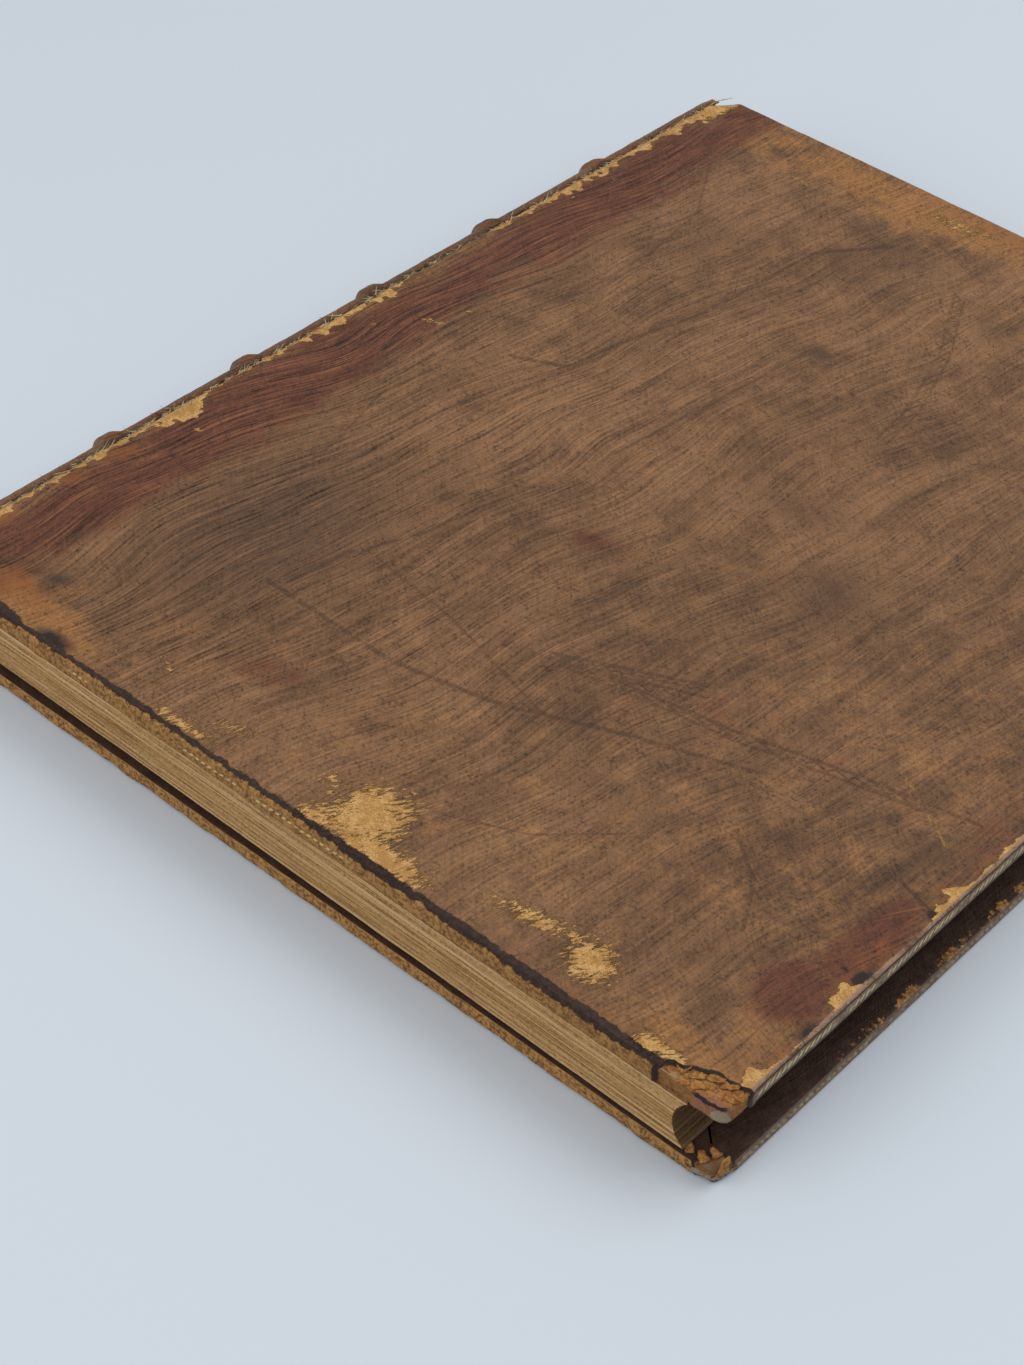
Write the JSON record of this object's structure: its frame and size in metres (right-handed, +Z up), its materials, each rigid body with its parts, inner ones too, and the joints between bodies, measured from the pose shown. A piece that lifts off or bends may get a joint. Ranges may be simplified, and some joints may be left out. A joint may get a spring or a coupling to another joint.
{
  "type": "antique leather book",
  "caption": "Old quarto book in full brown calf over pasteboards, with raised bands on the spine, worn corners and a cracked upper joint; both covers open.",
  "frame": {"origin": "middle of the book's footprint, on the surface that the lower cover lies on", "axes": "+X from the spine to the fore-edge, +Y from the tail to the head, +Z up through the upper cover"},
  "size_m": [0.239, 0.295, 0.023],
  "materials": {
    "calf": "satin",
    "leaves": "matte",
    "endpaper": "matte",
    "pasteboard": "matte",
    "lining_paper": "matte",
    "hemp_cord": "matte",
    "endband_thread": "matte"
  },
  "bodies": {
    "text_block": {"text_block": "leaves", "spine_leather": "calf", "sewing_cord_1": "hemp_cord", "sewing_cord_2": "hemp_cord", "sewing_cord_3": "hemp_cord", "sewing_cord_4": "hemp_cord", "sewing_cord_5": "hemp_cord", "spine_lining_1": "lining_paper", "spine_lining_2": "lining_paper", "spine_lining_3": "lining_paper", "spine_lining_4": "lining_paper", "spine_lining_5": "lining_paper", "spine_lining_6": "lining_paper", "tailband": "endband_thread", "headband": "endband_thread"},
    "front_cover": {"front_leather": "calf", "front_board": "pasteboard", "front_pastedown": "endpaper", "front_slip_1": "hemp_cord", "front_slip_2": "hemp_cord", "front_slip_3": "hemp_cord", "front_slip_4": "hemp_cord", "front_slip_5": "hemp_cord"},
    "back_cover": {"back_leather": "calf", "back_board": "pasteboard", "back_pastedown": "endpaper", "back_slip_1": "hemp_cord", "back_slip_2": "hemp_cord", "back_slip_3": "hemp_cord", "back_slip_4": "hemp_cord", "back_slip_5": "hemp_cord"}
  },
  "joints": [
    {"name": "upper_joint", "type": "hinge", "parent": "text_block", "child": "front_cover", "pos_m": [-0.1105, 0, 0.023], "axis": [0, -1, 0], "range_deg": [0, 180]},
    {"name": "lower_joint", "type": "hinge", "parent": "text_block", "child": "back_cover", "pos_m": [-0.1105, 0, 0], "axis": [0, 1, 0], "range_deg": [0, 180]}
  ]
}
